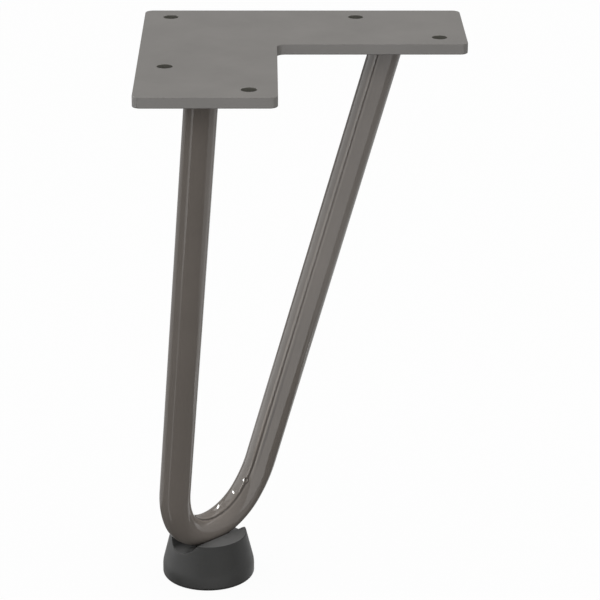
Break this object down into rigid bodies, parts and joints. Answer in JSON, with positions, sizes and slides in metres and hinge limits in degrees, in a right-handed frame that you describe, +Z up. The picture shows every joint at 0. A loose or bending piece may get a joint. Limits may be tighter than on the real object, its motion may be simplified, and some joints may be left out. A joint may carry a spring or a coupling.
{
  "type": "hairpin table leg",
  "caption": "Hairpin table leg: a round bar bent into a narrow splayed U under an L-shaped screw plate, standing on a saddle-topped conical foot.",
  "frame": {"origin": "on the mounting plate's top face, where the centre lines of its two arms cross", "axes": "+Z up, out of the plate's top face; one arm of the plate runs towards -Y and the other towards +X; the leg splays down towards the outer corner at -X, +Y"},
  "size_m": [0.12, 0.12, 0.227],
  "materials": {
    "plate_paint": "warm grey gloss powder coat",
    "rod_paint": "warm grey gloss powder coat",
    "weld_paint": "warm grey gloss powder coat over a welded bead",
    "foot_plastic": "moulded, fine matt texture",
    "screw_steel": "zinc plated"
  },
  "bodies": {
    "root": {"mounting_plate": "plate_paint", "hairpin_rod": "rod_paint", "weld_bead_left": "weld_paint", "weld_bead_right": "weld_paint", "foot": "foot_plastic", "foot_screw": "screw_steel"}
  },
  "joints": []
}
